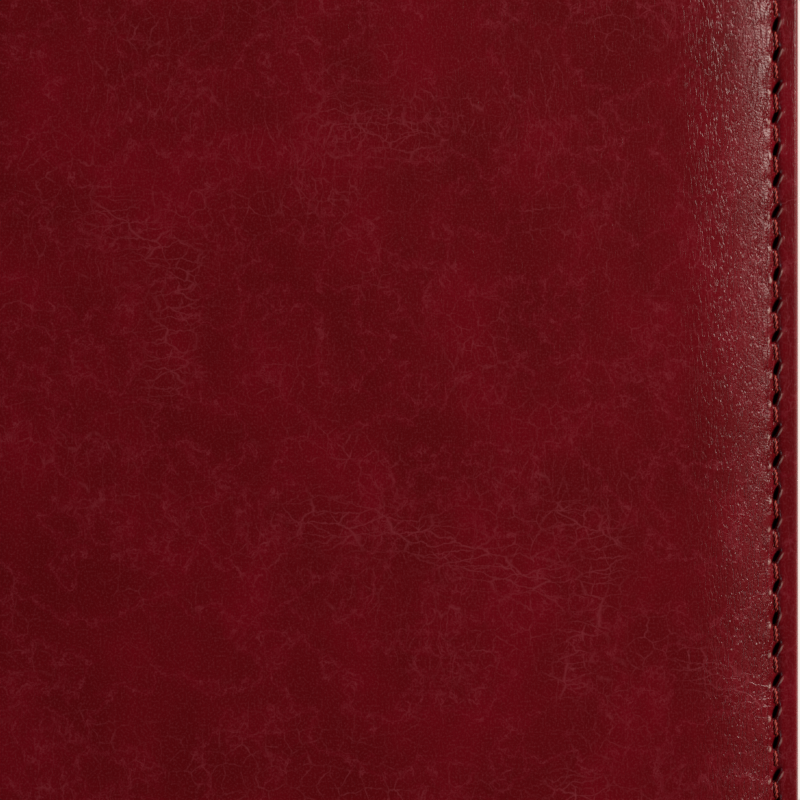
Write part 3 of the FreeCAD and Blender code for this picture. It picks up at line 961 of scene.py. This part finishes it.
    def fill_field(self, book: MeshBook, foot: Array) -> Array:
        """Fills the padded field with a grid between its four sides.

        Args:
            book: the mesh so far.
            foot: the point numbers of the sewn rim's inner row.

        Returns:
            The grid of the flat strip at the joint.
        """
        first = (len(self.stitching.near_hole) + 1) // self.coarse_each
        last = len(foot) - 1
        corner = round((self.seam.straight + self.seam.arc / 2) / self.stitching.pitch * first)
        points = np.concatenate(book.points)
        head, fore = foot[first : corner + 1], foot[corner : last - corner + 1]
        tail = foot[last - corner : last - first + 1][::-1]
        span = len(fore) - 1
        low, high = points[tail[0]], points[head[0]]
        hinge_y = high[1] + (low[1] - high[1]) * np.linspace(0, 1, span + 1)[1:-1]
        middle = book.add(low[0], hinge_y, self.field_height(np.full_like(hinge_y, low[0]), hinge_y))
        hinge = np.concatenate([[head[0]], middle, [tail[0]]])

        strip = np.empty((span + 1, first + 1), int)
        strip[0], strip[-1] = foot[: first + 1], foot[last - first :][::-1]
        strip[:, -1] = hinge
        for column in range(first):
            x = points[foot[column]][0]
            strip[1:-1, column] = book.add(x, hinge_y, self.field_height(np.full_like(hinge_y, x), hinge_y))
        book.quads(strip[::-1])

        points = np.concatenate(book.points)
        u = np.linspace(0, 1, len(head))[None, :, None]
        v = np.linspace(0, 1, span + 1)[:, None, None]
        top, bottom = points[head][None], points[tail][None]
        left, right = points[hinge][:, None], points[fore][:, None]
        grid = (1 - v) * top + v * bottom + (1 - u) * left + u * right
        grid -= (1 - u) * (1 - v) * top[:, :1] + u * (1 - v) * top[:, -1:]
        grid -= (1 - u) * v * bottom[:, :1] + u * v * bottom[:, -1:]
        x, y = grid[1:-1, 1:-1, 0], grid[1:-1, 1:-1, 1]
        numbers = np.empty(grid.shape[:2], int)
        numbers[0], numbers[-1], numbers[:, 0], numbers[:, -1] = head, tail, hinge, fore
        numbers[1:-1, 1:-1] = book.add(x, y, self.field_height(x, y))
        book.quads(numbers[::-1])
        return strip

    def field_height(self, x: Array, y: Array) -> Array:
        """Height of the padded field, with the slight hollows of foam under leatherette.

        Args:
            x: places along X, in millimetres.
            y: places along Y.

        Returns:
            Heights above the cover's inner face.
        """
        rise = self.puffed(x, y)
        places = zip(np.ravel(x), np.ravel(y))
        wide_x, wide_y = self.hollow_size
        uneven = np.array([noise.noise(Vector((a / wide_x, b / wide_y, 0.3))) for a, b in places])
        return self.rim + rise + self.hollow * uneven.reshape(np.shape(x)) * rise / self.puff

    def close_back(
        self, book: MeshBook, rows: list[Array], sewn_rows: Array, foot: Array, strip: Array
    ) -> None:
        """Closes the skin under the lining and at the joint end.

        Args:
            book: the mesh so far.
            rows: the point numbers of the edge and margin.
            sewn_rows: those of the sewn rim.
            foot: those of its inner row.
            strip: those of the flat strip at the joint.
        """
        book.faces.append(tuple(rows[-1].tolist()))
        head = [row[0] for row in rows[::-1]] + [row[0] for row in sewn_rows] + [foot[0]]
        tail = [row[-1] for row in rows[::-1]] + [row[-1] for row in sewn_rows] + [foot[-1]]
        ring = head + strip[1:-1, 0].tolist() + tail[::-1]
        book.faces.append(tuple(int(i) for i in ring[::-1]))

    def finish(self, book: MeshBook) -> Piece:
        """Args:
            book: the whole mesh.

        Returns:
            The finished piece.
        """
        points = np.concatenate(book.points)
        x, y = points[:, 0].copy(), points[:, 1].copy()
        points[:, 2] = self.inner_z + self.side.value * points[:, 2]
        faces = book.faces if self.side is Side.FRONT else [face[::-1] for face in book.faces]
        name = f"{self.side.word}_cover_leatherette"
        sheet = np.stack([self.sheet_x(x), y, np.zeros_like(x)], 1)
        piece = make_object(name, points, faces, self.leather, sheet)
        store_value(piece, HOLE, np.concatenate(book.holes))
        store_value(piece, PULL, self.pulled(x, y))
        store_value(piece, CREASED, creased(x, y))
        turn_outwards(piece)
        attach(piece, f"{self.side.word}_cover")
        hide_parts(f"{self.side.word}_leather")
        log.info("%s: %d faces, %d stitches", name, len(faces), self.seam.count)
        return piece


@dataclass(frozen=True)
class Strip:
    """A sewn strip of leatherette from head to tail that follows a path in the XZ plane.

    The path runs from the front cover's end: a flat on the cover, an arc and a flat on the spine.
    """

    name: str
    replaced: str
    corners: tuple[tuple[float, float], ...]  # (x, z) of the path's ends of flats and arc
    centre: tuple[float, float] | None
    half: float
    stitches: int
    thick: float
    thin: float  # at the path's end
    slot: str
    sheet_start: float
    middle_z: float  # half the closed album's height
    sheet_way: int = -1
    edge_roll: float = 0.6  # how far in the rolled edge reaches, and how far it falls
    edge_fall: float = 0.5
    field_rows: int = 29  # between the two seams
    under_inset: float = 12.0  # the underside's own rows
    creasing: float = 0.15

    def lengths(self) -> list[float]:
        """Measures the path.

        Returns:
            The length of each of its runs: the flat, or the flat, the arc and the second flat.
        """
        (ax, az), (bx, bz) = self.corners[0], self.corners[1]
        runs = [math.hypot(bx - ax, bz - az)]
        if self.centre:
            (cx, cz), (dx, dz) = self.corners[2], self.corners[3]
            runs += [math.hypot(cx - bx, cz - bz) * math.pi / math.sqrt(8), math.hypot(dx - cx, dz - cz)]
        return runs

    def stitching(self) -> Stitching:
        """The strip's stitches, spread over its length."""
        return Stitching(sum(self.lengths()) / self.stitches)

    def path(self, along: Array) -> tuple[Array, Array, Array, Array]:
        """Places on the path's outer face and the outward direction there.

        Args:
            along: distances along the path.

        Returns:
            The X and the Z of each place, and the X and the Z of its outward direction.
        """
        (ax, az), (bx, bz) = self.corners[0], self.corners[1]
        runs = self.lengths()
        part = along / runs[0]
        out_x, out_z = -(bz - az) / runs[0], (bx - ax) / runs[0]
        if out_x > 0 or (abs(out_x) < 0.5 and out_z * (az - self.middle_z) < 0):
            out_x, out_z = -out_x, -out_z
        x, z = ax + (bx - ax) * part, az + (bz - az) * part
        nx, nz = np.full_like(x, out_x), np.full_like(x, out_z)
        if not self.centre:
            return x, z, nx, nz
        (cx, cz), (dx, dz) = self.corners[2], self.corners[3]
        centre_x, centre_z = self.centre
        radius = math.hypot(bx - centre_x, bz - centre_z)
        start = math.atan2(bz - centre_z, bx - centre_x) % math.tau
        stop = math.atan2(cz - centre_z, cx - centre_x) % math.tau
        turn = start + (stop - start) * np.clip((along - runs[0]) / runs[1], 0, 1)
        tail = np.clip((along - runs[0] - runs[1]) / runs[2], 0, None)
        on_arc, after = along > runs[0], along > runs[0] + runs[1]
        x = np.where(after, cx + (dx - cx) * tail, np.where(on_arc, centre_x + radius * np.cos(turn), x))
        z = np.where(after, cz + (dz - cz) * tail, np.where(on_arc, centre_z + radius * np.sin(turn), z))
        nx = np.where(on_arc, np.cos(turn), nx)
        nz = np.where(on_arc, np.sin(turn), nz)
        return x, z, nx, nz

    def build(self, leather: Finish) -> Piece:
        """Builds the closed strip; the caller puts the spine's panel on the spine.

        Args:
            leather: the finish.

        Returns:
            The finished piece.
        """
        row = self.stitching()
        along = row.columns(self.stitches)
        total = along[-1]
        x, z, nx, nz = self.path(along)
        runs = self.lengths()
        flat_start = sum(runs[:2]) if self.centre else total
        thickness = self.thick + (self.thin - self.thick) * np.clip(along - flat_start, 0, 1)
        sewn = row.rows()
        roll, fall = self.edge_roll, self.edge_fall
        turns = np.linspace(0, math.pi / 2, 5)
        edge = [(roll - roll * math.cos(t), -fall + fall * math.sin(t)) for t in turns]
        insets = [step for step, _ in edge] + [1.1] + sewn.tolist()
        middle = np.linspace(sewn[-1], 2 * self.half - sewn[-1], self.field_rows + 2)[1:-1]
        across = np.array(insets + middle.tolist() + [2 * self.half - i for i in insets[::-1]])
        drop = np.zeros(len(across))
        drop[: len(edge)] = [height for _, height in edge]
        drop[-len(edge) :] = [height for _, height in edge[::-1]]
        from_edge = np.minimum(across, 2 * self.half - across)
        grid_along, grid_edge = np.meshgrid(along, from_edge, indexing="ij")
        high = row.relief(grid_along, grid_edge) + drop
        hole = row.hole_value(grid_along, grid_edge)
        y = np.broadcast_to(self.half - across, high.shape)
        inset = self.under_inset
        under_at = np.array([across[0], inset, self.half, 2 * self.half - inset, across[-1]])
        under = np.broadcast_to(-thickness[:, None], (len(along), len(under_at)))
        high = np.concatenate([high, under[:, ::-1]], 1)
        y = np.concatenate([y, np.broadcast_to(self.half - under_at[::-1], under.shape)], 1)
        hole = np.concatenate([hole, np.zeros_like(under)], 1)
        book = MeshBook()
        numbers = book.add(x[:, None] + nx[:, None] * high, y, z[:, None] + nz[:, None] * high, hole)
        looped = np.concatenate([numbers, numbers[:, :1]], 1)
        book.quads(looped)
        book.faces.append(tuple(numbers[0].tolist()))
        book.faces.append(tuple(numbers[-1].tolist()[::-1]))
        points = np.concatenate(book.points)
        places = np.broadcast_to(along[:, None], high.shape).ravel()
        sheet_x = self.sheet_start + self.sheet_way * places
        sheet = np.stack([sheet_x, points[:, 1], np.zeros(len(points))], 1)
        piece = make_object(self.name, points, book.faces, leather, sheet)
        turn_outwards(piece)
        store_value(piece, HOLE, np.concatenate(book.holes))
        store_value(piece, PULL, drawn_out(self.half - np.abs(points[:, 1]) - row.inset))
        store_value(piece, CREASED, np.full(len(points), self.creasing))
        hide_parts(self.replaced)
        return piece


@dataclass(frozen=True)
class StitchShape:
    """One stitch: three twisted plies that dive into the needle holes at both ends, in mm."""

    radius: float = 0.225
    lobe: float = 0.10
    sides: int = 6
    steps: int = 9
    lay: float = 1.9  # length of one full twist
    level: float = 0.55  # half the length that lies level
    dip: float = 0.95
    reach: float = 1.40  # half the stitch
    skew: float = 0.12  # how far its ends lie off the row

    def points(self) -> tuple[Array, Array]:
        """Places its points.

        Returns:
            Each point's along, across and up, and each point's crown value.
        """
        along = np.linspace(-self.reach, self.reach, self.steps + 1)
        fall = np.clip((np.abs(along) - self.level) / (self.reach - self.level), 0, 1) ** 1.6
        places, crowns = [], []
        for a, down in zip(along, fall):
            for number in range(self.sides):
                crown = 1.0 if number % 2 == 0 else 0.0
                radius = self.radius + self.lobe * (crown - 0.5)
                angle = number / self.sides * math.tau + math.tau * a / self.lay
                across = self.skew * a / self.reach + radius * math.cos(angle)
                places.append((a, across, radius * math.sin(angle) - self.dip * down))
                crowns.append(crown)
        return np.array(places), np.array(crowns)

    def faces(self) -> list[tuple[int, ...]]:
        """Joins its points.

        Returns:
            Each face's point numbers, turned outwards where along, across and up are right-handed.
        """
        made = []
        for row in range(self.steps):
            for k in range(self.sides):
                a, b = row * self.sides + k, row * self.sides + (k + 1) % self.sides
                made.append((a, b, b + self.sides, a + self.sides))
        made.append(tuple(range(self.sides))[::-1])
        made.append(tuple(range(self.steps * self.sides, (self.steps + 1) * self.sides)))
        return made


def lay_stitches(
    name: str, rows: list[tuple[Array, bool]], crowns: Array, thread: Finish
) -> Piece:
    """Joins stitches that are already in place into one piece.

    Args:
        name: the piece's name.
        rows: each stitch's points in millimetres, and whether its faces are turned over.
        crowns: one stitch's crown values.
        thread: the finish.

    Returns:
        The finished piece.
    """
    faces, shape_faces = [], StitchShape().faces()
    for number, (_, turned) in enumerate(rows):
        start = number * len(crowns)
        faces += [tuple(start + i for i in (face[::-1] if turned else face)) for face in shape_faces]
    points = np.concatenate([stitch for stitch, _ in rows])
    piece = make_object(name, points, faces, thread, points)
    store_value(piece, CROWN, np.tile(crowns, len(rows)))
    return piece


@dataclass
class CoverStitches:
    """Both faces' rows of stitches on one cover."""

    skin: CoverSkin
    thread: Finish
    sunk: float = 0.20  # the thread's middle lies this far under the rim
    inner_share: float = 0.30  # the lower thread lies flatter
    inner_rise: float = 0.10

    def build(self) -> Piece:
        """Copies the stitch along both rows and puts them on the cover.

        Returns:
            The finished piece.
        """
        shape, crowns = StitchShape().points()
        seam, skin = self.skin.seam, self.skin
        rows = []
        for outer in (True, False):
            for number in range(1, seam.count):
                along = number * skin.stitching.pitch + shape[:, 0]
                across = seam.inset - shape[:, 1]
                x, y = seam.plan(along, across)
                outside, inside = skin.rim - self.sunk + shape[:, 2], shape[:, 2] * self.inner_share
                z = outside if outer else self.inner_rise - inside
                points = np.stack([x, y, skin.inner_z + skin.side.value * z], 1)
                rows.append((points, outer != (skin.side is Side.FRONT)))
        name = f"{skin.side.word}_cover_stitches"
        piece = lay_stitches(name, rows, crowns, self.thread)
        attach(piece, f"{skin.side.word}_cover")
        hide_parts(f"{skin.side.word}_stitching")
        return piece


@dataclass
class Spine:
    """The spine's leatherette and the two joints."""

    skins: dict[Side, CoverSkin]
    leather: Finish
    thread: Finish
    lap: float = 3.0
    joint_sheet: float = 1.8
    panel_sheet: float = 0.85
    sunk: float = 0.20
    panel_start: float = -113.9  # the panel's place on the one sheet that wraps the album

    def strips(self) -> dict[Side | None, Strip]:
        """Sizes the three strips by the frame.

        Returns:
            The strips by their covers, and the spine's panel as None.
        """
        half = self.skins[Side.FRONT].half
        low, high = box_mm("spine_leather")
        made = {}
        for side, skin in self.skins.items():
            spine_z = high.z if side is Side.FRONT else low.z
            rim_z = skin.inner_z + side.value * skin.rim
            made[side] = Strip(
                name=f"{side.word}_joint_leatherette",
                replaced=f"{side.word}_joint",
                corners=(
                    (skin.joint_x + self.lap, rim_z),
                    (skin.joint_x, rim_z),
                    (low.x, spine_z),
                    (low.x, spine_z - side.value * self.lap),
                ),
                centre=(skin.joint_x, spine_z),
                half=half,
                stitches=4,
                thick=self.joint_sheet,
                thin=self.panel_sheet,
                slot="joint_leatherette",
                sheet_start=float(skin.sheet_x(skin.joint_x + self.lap)),
                middle_z=(low.z + high.z) / 2,
                sheet_way=-side.value,
            )
        made[None] = Strip(
            name="spine_leatherette",
            replaced="spine_leather",
            corners=((low.x, high.z - self.lap), (low.x, low.z + self.lap)),
            centre=None,
            half=half,
            stitches=4,
            thick=self.panel_sheet,
            thin=self.panel_sheet,
            slot="leatherette",
            sheet_start=self.panel_start,
            middle_z=(low.z + high.z) / 2,
        )
        return made

    def stitch_rows(self, strip: Strip) -> list[tuple[Array, bool]]:
        """Places a strip's stitches, at the head and at the tail.

        Args:
            strip: the strip.

        Returns:
            Each stitch's points in millimetres, and that its faces aren't turned over.
        """
        shape, _ = StitchShape().points()
        row = strip.stitching()
        rows = []
        for number in range(strip.stitches + 1):
            wanted = number * row.pitch + shape[:, 0]
            held = np.clip(wanted, 0, strip.stitches * row.pitch)
            x, z, nx, nz = strip.path(held)
            up = shape[:, 2] - self.sunk - np.abs(wanted - held) * 0.5
            for end in (1, -1):
                y = end * (strip.half - row.inset) + shape[:, 1]
                rows.append((np.stack([x + nx * up, y, z + nz * up], 1), False))
        return rows

    def build(self) -> None:
        """Builds the strips and their stitches."""
        _, crowns = StitchShape().points()
        for side, strip in self.strips().items():
            leatherette = strip.build(self.leather)
            name = strip.name.replace("leatherette", "stitches")
            stitches = lay_stitches(name, self.stitch_rows(strip), crowns, self.thread)
            turn_outwards(stitches)
            if side is None:
                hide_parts("spine_stitching")
                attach(leatherette, "spine")
                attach(stitches, "spine")
                continue
            for piece in (leatherette, stitches):
                if side is Side.FRONT:
                    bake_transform(piece)
                else:
                    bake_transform(piece)


# ---------------------------------------------------------------------------------------------
# Pages


@dataclass(frozen=True)
class CoinPages:
    """Clear pages of two welded films: a grid of raised pockets and a punched margin, in mm."""

    film: Finish
    count: int = 8
    width: float = 190.0
    length: float = 217.0
    margin: float = 13.0
    columns: int = 4
    rows: int = 5
    corner: float = 3.0
    weld: float = 1.5  # half the width of a weld between pockets
    bulge: float = 0.39
    pocket_slope: float = 0.8  # how far in a pocket's sloping side reaches
    wall: float = 0.15
    gap: float = 0.01  # between the two films
    hole_radius: float = 3.25
    hole_inset: float = 6.5
    hole_y: tuple[float, ...] = (77.5, 32.5, -32.5, -77.5)
    ring_radius: float = 11.0
    hole_slack: float = 0.8
    pitch: float = 1.4
    leaf_thickness: float = 1.1
    slope: float = math.radians(2.5)
    ring_axis: tuple[float, float, float] = (-92.8, 0.0, 19.1)

    def film_sheet(self, name: str, height: float, pockets: bool) -> Piece:
        """Makes one film with its margin at x = 0.

        Args:
            name: the film's name.
            height: its upper face.
            pockets: whether it is raised into pockets.

        Returns:
            The film, still unpunched.
        """
        pick()
        field_width = self.width - self.margin
        bpy.ops.mesh.primitive_grid_add(
            x_subdivisions=self.columns,
            y_subdivisions=self.rows,
            size=1.0,
            location=((self.margin + field_width / 2) * MM, 0, height * MM),
        )
        film = bpy.context.object
        film.name = name
        film.scale = (field_width * MM, self.length * MM, 1)
        bpy.ops.object.transform_apply(location=True, rotation=True, scale=True)
        self.choose(film, "EDGE", lambda x, y: abs(x - self.margin) < NEAR_MM)
        bpy.ops.mesh.extrude_edges_move(TRANSFORM_OT_translate={"value": (-self.margin * MM, 0, 0)})
        bpy.ops.object.mode_set(mode="OBJECT")
        if pockets:
            self.choose(film, "FACE", lambda x, y: x > self.margin)
            bpy.ops.mesh.inset(thickness=self.weld * MM, use_individual=True)
            rise = {"thickness": self.pocket_slope * MM, "depth": self.bulge * MM}
            bpy.ops.mesh.inset(use_individual=True, **rise)
            bpy.ops.object.mode_set(mode="OBJECT")
        self.choose(film, "VERT", lambda x, y: abs(x - self.width) + abs(abs(y) - self.length / 2) < NEAR_MM)
        bpy.ops.mesh.bevel(offset=self.corner * MM, segments=4, affect="VERTICES")
        bpy.ops.object.mode_set(mode="OBJECT")
        thick = film.modifiers.new("film thickness", "SOLIDIFY")
        thick.thickness = self.wall * MM
        thick.offset = -1.0
        bpy.ops.object.modifier_apply(modifier=thick.name)
        return film

    def choose(self, film: Piece, kind: str, wanted: Callable[[float, float], bool]) -> None:
        """Enters edit mode with some of a film's faces, edges or corners chosen.

        Args:
            film: the film.
            kind: FACE, EDGE or VERT.
            wanted: tells from the X and Y of an item's middle, in millimetres, whether it is chosen.
        """
        pick(film)
        bpy.ops.object.mode_set(mode="EDIT")
        bpy.ops.mesh.select_mode(type=kind)
        bpy.ops.mesh.select_all(action="DESELECT")
        bpy.ops.object.mode_set(mode="OBJECT")
        mesh = film.data
        for item in {"VERT": mesh.vertices, "EDGE": mesh.edges, "FACE": mesh.polygons}[kind]:
            corners = [item.index] if kind == "VERT" else item.vertices
            middle = sum((mesh.vertices[i].co for i in corners), Vector()) / (len(corners) * MM)
            item.select = wanted(middle.x, middle.y)
        bpy.ops.object.mode_set(mode="EDIT")

    def punch(self, page: Piece) -> None:
        """Cuts the four ring holes.

        Args:
            page: the film to punch.
        """
        cutters = []
        for y in self.hole_y:
            pick()
            place = (self.hole_inset * MM, y * MM, 0)
            bpy.ops.mesh.primitive_cylinder_add(
                vertices=40, radius=self.hole_radius * MM, depth=0.01, location=place
            )
            cutters.append(bpy.context.object)
        for cutter in cutters:
            cut = page.modifiers.new("ring hole", "BOOLEAN")
            cut.object = cutter
            cut.solver = "EXACT"
            pick(page)
            bpy.ops.object.modifier_apply(modifier=cut.name)
        pick(*cutters)
        bpy.ops.object.delete()

    def place(self, index: int) -> Matrix:
        """Where a leaf lies on the rings.

        Args:
            index: the leaf's number, from 1 under the front cover.

        Returns:
            The leaf's placing in the scene.
        """
        offset = self.pitch * ((self.count + 1) / 2 - index)
        inner_edge = math.sqrt(self.ring_radius**2 - offset**2) + self.hole_slack - self.hole_inset
        flat = Matrix.Translation(Vector((inner_edge, 0, offset - self.leaf_thickness / 2)) * MM)
        return Matrix.Translation(Vector(self.ring_axis) * MM) @ Matrix.Rotation(self.slope, 4, "Y") @ flat

    def build(self) -> None:
        """Makes one page and lays a copy of it on each leaf."""
        back = self.film_sheet("back_film", self.wall, False)
        front = self.film_sheet("front_film", 2 * self.wall + self.gap, True)
        for film in (back, front):
            self.punch(film)
        pick(back, front)
        bpy.ops.object.join()
        master = bpy.context.object
        master.data.materials.clear()
        master.data.materials.append(self.film)
        raised = Matrix.Translation((0, 0, (2 * self.wall + self.gap + self.bulge) * MM))
        master.data.transform(raised @ Matrix.Rotation(math.pi, 4, "X"))
        for index in range(1, self.count + 1):
            page = bpy.data.objects.new(f"clear_page_{index}", master.data.copy())
            page.data.transform(self.place(index))
            bpy.context.scene.collection.objects.link(page)
            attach(page, f"leaf_{index}")
            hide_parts(f"coin_page_{index}")
        bpy.data.objects.remove(master)


# ---------------------------------------------------------------------------------------------
# Studio


@dataclass
class Studio:
    """A pale floor, soft lights and a camera looking straight down at the front cover."""

    skin: CoverSkin
    view_mm: float = 96.27  # width of the view at the sewn rim
    edge_right_mm: float = 48.03  # from the view's middle to the fore edge
    hole_above_mm: float = 45.25  # from the view's middle up to a needle hole
    hole_run_mm: float = 70.0  # that hole's place along the fore edge, to the nearest stitch
    lens: float = 150.0
    sensor: float = 36.0
    floor_drop_mm: float = 0.4  # the padded back cover bulges just below its frame
    floor_glow: float = 0.5  # the paper is lit from below, like a light table

    def floor(self) -> None:
        """Makes the floor under the album."""
        material, tree = blank("matt_white_paper")
        place = put(tree, "TexCoord", None, "Object")
        fleck = put(tree, "TexNoise", {"Vector": place, "Scale": 60.0, "Detail": 3.0}, "Fac")
        shades = ((0.3, linear("#e9e6e2")), (0.7, linear("#efede9")))
        colour = put(tree, "ValToRGB", {0: fleck}, 0, shades)
        glow = {"Emission Color": linear("#fff8f0"), "Emission Strength": self.floor_glow}
        shade(tree, glow | {"Base Color": colour, "Roughness": 0.9})
        pick()
        bpy.ops.mesh.primitive_plane_add(size=8.0, location=(0, 0, -self.floor_drop_mm * MM))
        plane = bpy.context.object
        plane.name = "floor"
        bpy.ops.object.transform_apply(location=True)
        plane.data.materials.append(material)

    def lights(self, aim: Vector) -> None:
        """Makes the key light beyond the fore edge and the head, and weaker fills.

        Args:
            aim: the point that they all face.
        """
        # Azimuth and tilt in degrees, distance and size in metres
        for name, azimuth, tilt, distance, size, watts, tint in (
            ("key_light", 26.0, 55.0, 0.75, (0.26, 0.32), 3.6, "#fff6ee"),
            ("left_fill", 184.0, 66.0, 1.1, (0.36, 0.26), 0.95, "#f4f6ff"),
            ("head_fill", 100.0, 72.0, 1.2, (0.9, 0.4), 0.55, "#ffffff"),
        ):
            data = bpy.data.lights.new(name, "AREA")
            data.shape = "RECTANGLE"
            data.size, data.size_y = size
            data.energy = watts
            data.color = linear(tint)[:3]
            lamp = bpy.data.objects.new(name, data)
            a, t = math.radians(azimuth), math.radians(tilt)
            way = Vector((math.cos(a) * math.sin(t), math.sin(a) * math.sin(t), math.cos(t)))
            lamp.location = aim + way * distance
            lamp.rotation_euler = way.to_track_quat("Z", "Y").to_euler()
            bpy.context.scene.collection.objects.link(lamp)
        world = bpy.data.worlds.new("dim_studio")
        world.use_nodes = True
        glow = world.node_tree.nodes["Background"].inputs
        glow["Color"].default_value = (1, 1, 1, 1)
        glow["Strength"].default_value = 0.02
        bpy.context.scene.world = world

    def camera(self) -> Vector:
        """Makes the camera, with the fore edge and a needle hole where the frame wants them.

        Returns:
            The point that the camera looks at.
        """
        seam = self.skin.seam
        fore_start = seam.straight + seam.arc
        wanted = fore_start + self.hole_run_mm
        hole = (math.floor(wanted / self.skin.stitching.pitch) + 0.5) * self.skin.stitching.pitch
        hole_y = seam.centre_y - (hole - fore_start)
        top = self.skin.inner_z + self.skin.rim
        aim = Vector((seam.fore_x - self.edge_right_mm, hole_y - self.hole_above_mm, top)) * MM
        data = bpy.data.cameras.new("camera")
        data.lens, data.sensor_width = self.lens, self.sensor
        eye = bpy.data.objects.new("camera", data)
        distance = self.view_mm * MM * self.lens / self.sensor
        eye.location = aim + Vector((0, 0, distance))
        bpy.context.scene.collection.objects.link(eye)
        bpy.context.scene.camera = eye
        return aim

    def build(self) -> None:
        """Sets up the whole studio."""
        self.floor()
        self.lights(self.camera())
        bpy.context.scene.view_settings.view_transform = "Standard"


def dress_inside() -> None:
    """Makes the pages, and gives the frame's own pieces their finishes by their material slots."""
    made = {slot: finish.build() for slot, finish in FRAME_FINISHES.items()}
    CoinPages(made["page_film"]).build()
    for part in frame["record"]["subparts"]:
        node = bpy.data.objects.get(part["node"])
        if node is None or part["material_slot"] not in made:
            continue
        node.data.materials.clear()
        node.data.materials.append(made[part["material_slot"]])


def main() -> None:
    """Builds every piece."""
    logging.basicConfig(level=logging.INFO, format="%(name)s: %(message)s")
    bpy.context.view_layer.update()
    leather = Leatherette().build()
    thread = SewingThread().build()
    skins = {side: CoverSkin(side, leather) for side in Side}
    dress_inside()
    for skin in skins.values():
        skin.build()
        CoverStitches(skin, thread).build()
    Spine(skins, leather, thread).build()
    Studio(skins[Side.FRONT]).build()


if __name__ == "__main__":
    main()
